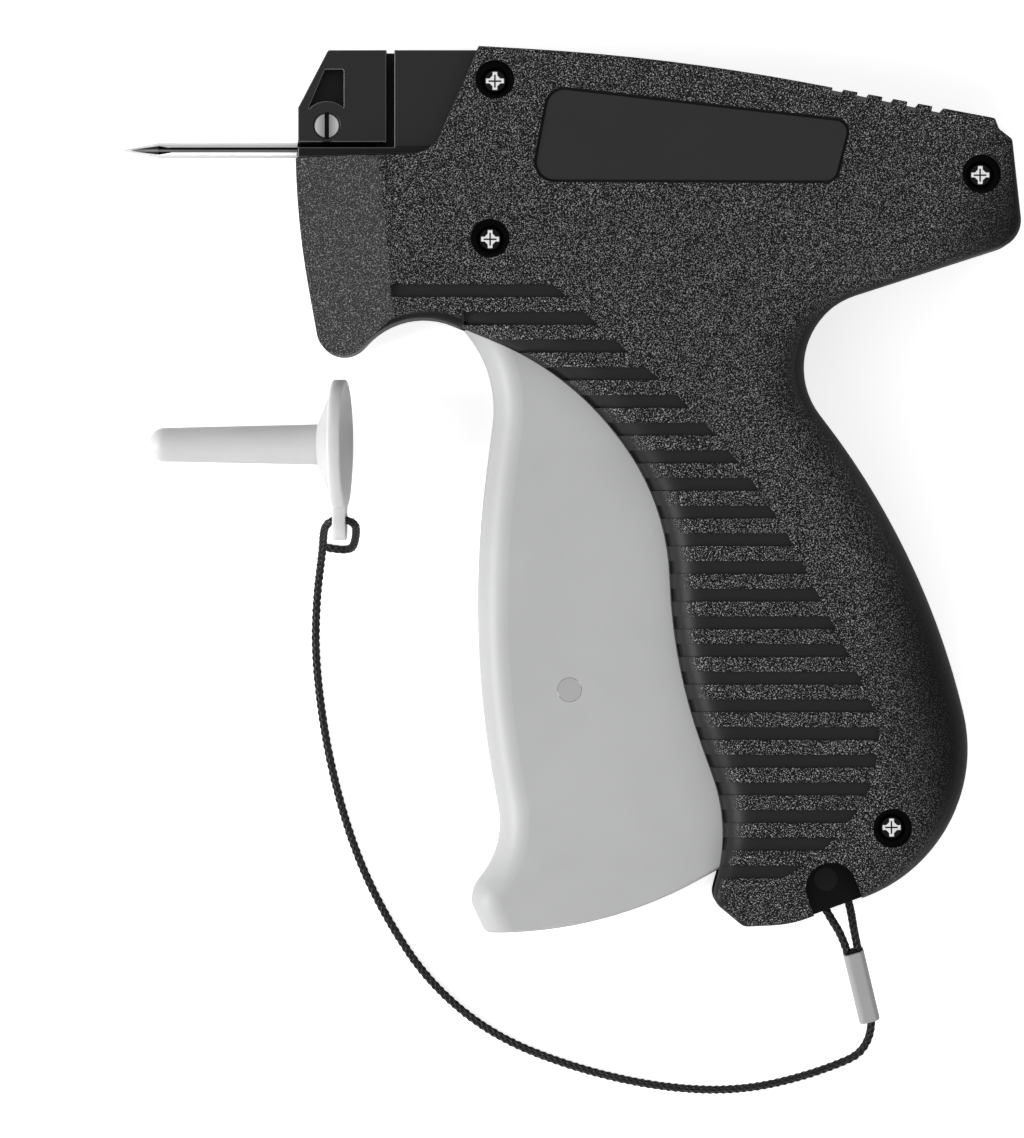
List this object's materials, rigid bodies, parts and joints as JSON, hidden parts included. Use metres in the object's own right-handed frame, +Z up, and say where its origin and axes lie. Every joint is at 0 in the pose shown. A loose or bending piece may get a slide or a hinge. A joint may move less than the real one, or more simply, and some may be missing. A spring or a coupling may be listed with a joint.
{
  "type": "garment tag attacher",
  "caption": "Hand-held garment tag attacher with hollow needle, squeeze trigger, lever-driven ejector slide, feed head, lock screw and corded needle cap.",
  "frame": {"origin": "centre of the gun's extent in plan, on the surface that it lies on; cord, sleeve and needle cap are not counted", "axes": "-X along the needle, +Y from the foot of the handle to the barrel, +Z up from the face that the gun lies on"},
  "size_m": [0.1501, 0.1755, 0.026],
  "materials": {
    "shell": "fine matte texture",
    "panel": "satin",
    "head": "satin",
    "trigger_plastic": "satin",
    "clear_plastic": "natural, slightly translucent",
    "inner_plastic": "natural",
    "steel": "bright",
    "sleeve_metal": "satin",
    "cord": "braided"
  },
  "bodies": {
    "root": {"left_shell": "shell", "right_shell": "shell", "side_panel": "panel", "case_screws": "steel", "lanyard_post": "head", "head_block": "head", "needle_hub": "head", "needle_tube": "steel", "cutter_blade": "steel", "feed_axle": "steel", "trigger_pivot_pin": "steel", "lever_pivot_pin": "steel", "spring_seat": "inner_plastic", "return_spring": "steel", "lanyard_cord": "cord", "crimp_sleeve": "sleeve_metal", "needle_cap": "clear_plastic"},
    "trigger": {"trigger": "trigger_plastic", "trigger_spring_pin": "steel", "drive_post": "steel", "drive_roller": "steel"},
    "cup": {"spring_cup": "inner_plastic"},
    "lever": {"drive_lever": "steel"},
    "slide": {"slide_carriage": "inner_plastic", "slide_pin": "steel", "ejector_rod": "steel"},
    "lock": {"needle_lock": "steel"},
    "feed": {"feed_wheel": "inner_plastic"}
  },
  "joints": [
    {"name": "trigger_pull", "type": "hinge", "parent": "root", "child": "trigger", "pos_m": [-0.01275, 0.0317, 0.013], "axis": [0, 0, 1], "range_deg": [0, 22], "stiffness_Nm_per_rad": 2, "springref_deg": -6.88, "deforming": ["return_spring"]},
    {"name": "cup_tilt", "type": "hinge", "parent": "trigger", "child": "cup", "pos_m": [-0.0003, -0.0333, 0.013], "axis": [0, 0, 1], "range_deg": [-34.13, 0]},
    {"name": "lever_swing", "type": "hinge", "parent": "root", "child": "lever", "pos_m": [0.01544, 0.02144, 0.013], "axis": [0, 0, 1], "range_deg": [0, 62.5]},
    {"name": "slide_drive", "type": "slide", "parent": "root", "child": "slide", "axis": [-1, 0, 0], "range_m": [0, 0.0398]},
    {"name": "needle_lock_turn", "type": "hinge", "parent": "root", "child": "lock", "pos_m": [-0.04075, 0.0607, 0.013], "axis": [0, 0, 1], "range_deg": [0, 90]},
    {"name": "feed_wheel_spin", "type": "hinge", "parent": "root", "child": "feed", "pos_m": [-0.02575, 0.0517, 0.013], "axis": [0, 0, 1], "continuous": true}
  ],
  "couplings": [
    {"joint": "cup_tilt", "follows": "trigger_pull", "ratio": -1.5468},
    {"joint": "lever_swing", "follows": "trigger_pull", "ratio": 2.8364},
    {"joint": "slide_drive", "follows": "trigger_pull", "m_per_rad": 0.10334}
  ]
}
